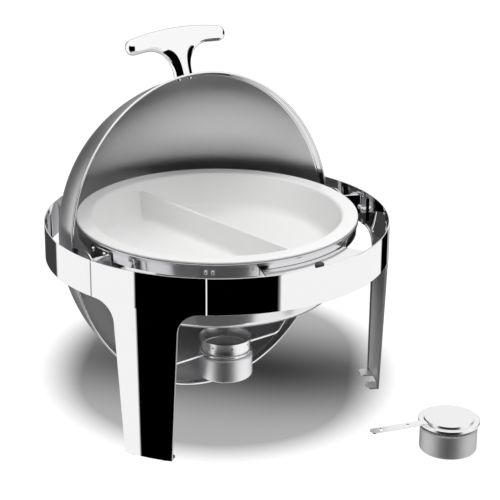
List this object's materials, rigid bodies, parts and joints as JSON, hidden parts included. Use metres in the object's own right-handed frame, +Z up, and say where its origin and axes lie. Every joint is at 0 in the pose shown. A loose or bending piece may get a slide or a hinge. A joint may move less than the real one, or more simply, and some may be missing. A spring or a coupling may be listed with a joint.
{
  "type": "roll top chafer",
  "caption": "Round food warmer: a dome lid that rolls back round a divided food pan and a water pan, over a spirit burner in a wire cradle, with a spare fuel holder.",
  "frame": {"origin": "middle of the set's outline on the table top, between the stand and the fuel holder in front of it", "axes": "+Z up, front of the chafer towards -Y, the lid's pivot axis along X at y 0.065 and z 0.236, the stand's own axis upright at y 0.065"},
  "size_m": [0.47, 0.6, 0.5039],
  "materials": {
    "polished_ring": "mirror-polished stainless sheet",
    "polished_lid": "mirror-polished stainless, faint spun texture",
    "polished_small": "bright stainless fasteners",
    "satin_sheet": "satin stainless sheet",
    "water_pan_steel": "bright drawn stainless",
    "porcelain": "white glazed porcelain",
    "cast_handle": "polished casting",
    "spun_cup": "spun steel with fine turning lines",
    "cradle_wire": "bright bent wire",
    "cover_plate": "lightly brushed, bright",
    "wick_pad": "pale fibre",
    "black_rubber": "matt",
    "bush_plastic": "matt"
  },
  "bodies": {
    "stand": {"leg_front_left": "polished_ring", "leg_front_right": "polished_ring", "leg_back": "polished_ring", "band_front": "polished_ring", "band_left": "polished_ring", "band_right": "polished_ring", "splice_plates": "satin_sheet", "ring_studs": "polished_small", "ring_nuts": "polished_small", "foot_pads": "black_rubber", "pan_carrier": "satin_sheet", "pivot_bracket_left": "satin_sheet", "pivot_bracket_right": "satin_sheet", "front_ledge": "satin_sheet", "lid_bumper": "black_rubber", "carrier_rivets": "polished_small", "pivot_bolts": "polished_small", "pivot_spacers": "polished_small", "pivot_washers": "polished_small", "pivot_nuts": "polished_small", "stop_pins": "polished_small", "burner_cup": "spun_cup", "burner_wick": "wick_pad", "burner_collar": "spun_cup", "burner_cradle": "cradle_wire", "holder_cup": "spun_cup", "holder_wick": "wick_pad"},
    "lid": {"lid_dome": "polished_lid", "lid_ear_left": "satin_sheet", "lid_ear_right": "satin_sheet", "pivot_bushes": "bush_plastic", "lid_handle": "cast_handle", "handle_screws": "polished_small"},
    "water_pan": {"water_pan": "water_pan_steel"},
    "food_pan": {"food_pan": "porcelain"},
    "cover": {"holder_cover": "cover_plate", "cover_handle": "cover_plate"}
  },
  "joints": [
    {"name": "lid_roll", "type": "hinge", "parent": "stand", "child": "lid", "pos_m": [0, 0.065, 0.236], "axis": [1, 0, 0], "range_deg": [0, 98]},
    {"name": "water_pan_lift", "type": "slide", "parent": "stand", "child": "water_pan", "axis": [0, 0, 1], "range_m": [0, 0.025]},
    {"name": "food_pan_lift", "type": "slide", "parent": "water_pan", "child": "food_pan", "axis": [0, 0, 1], "range_m": [0, 0.025]},
    {"name": "cover_lift", "type": "slide", "parent": "stand", "child": "cover", "axis": [0, 0, 1], "range_m": [0, 0.04]}
  ]
}
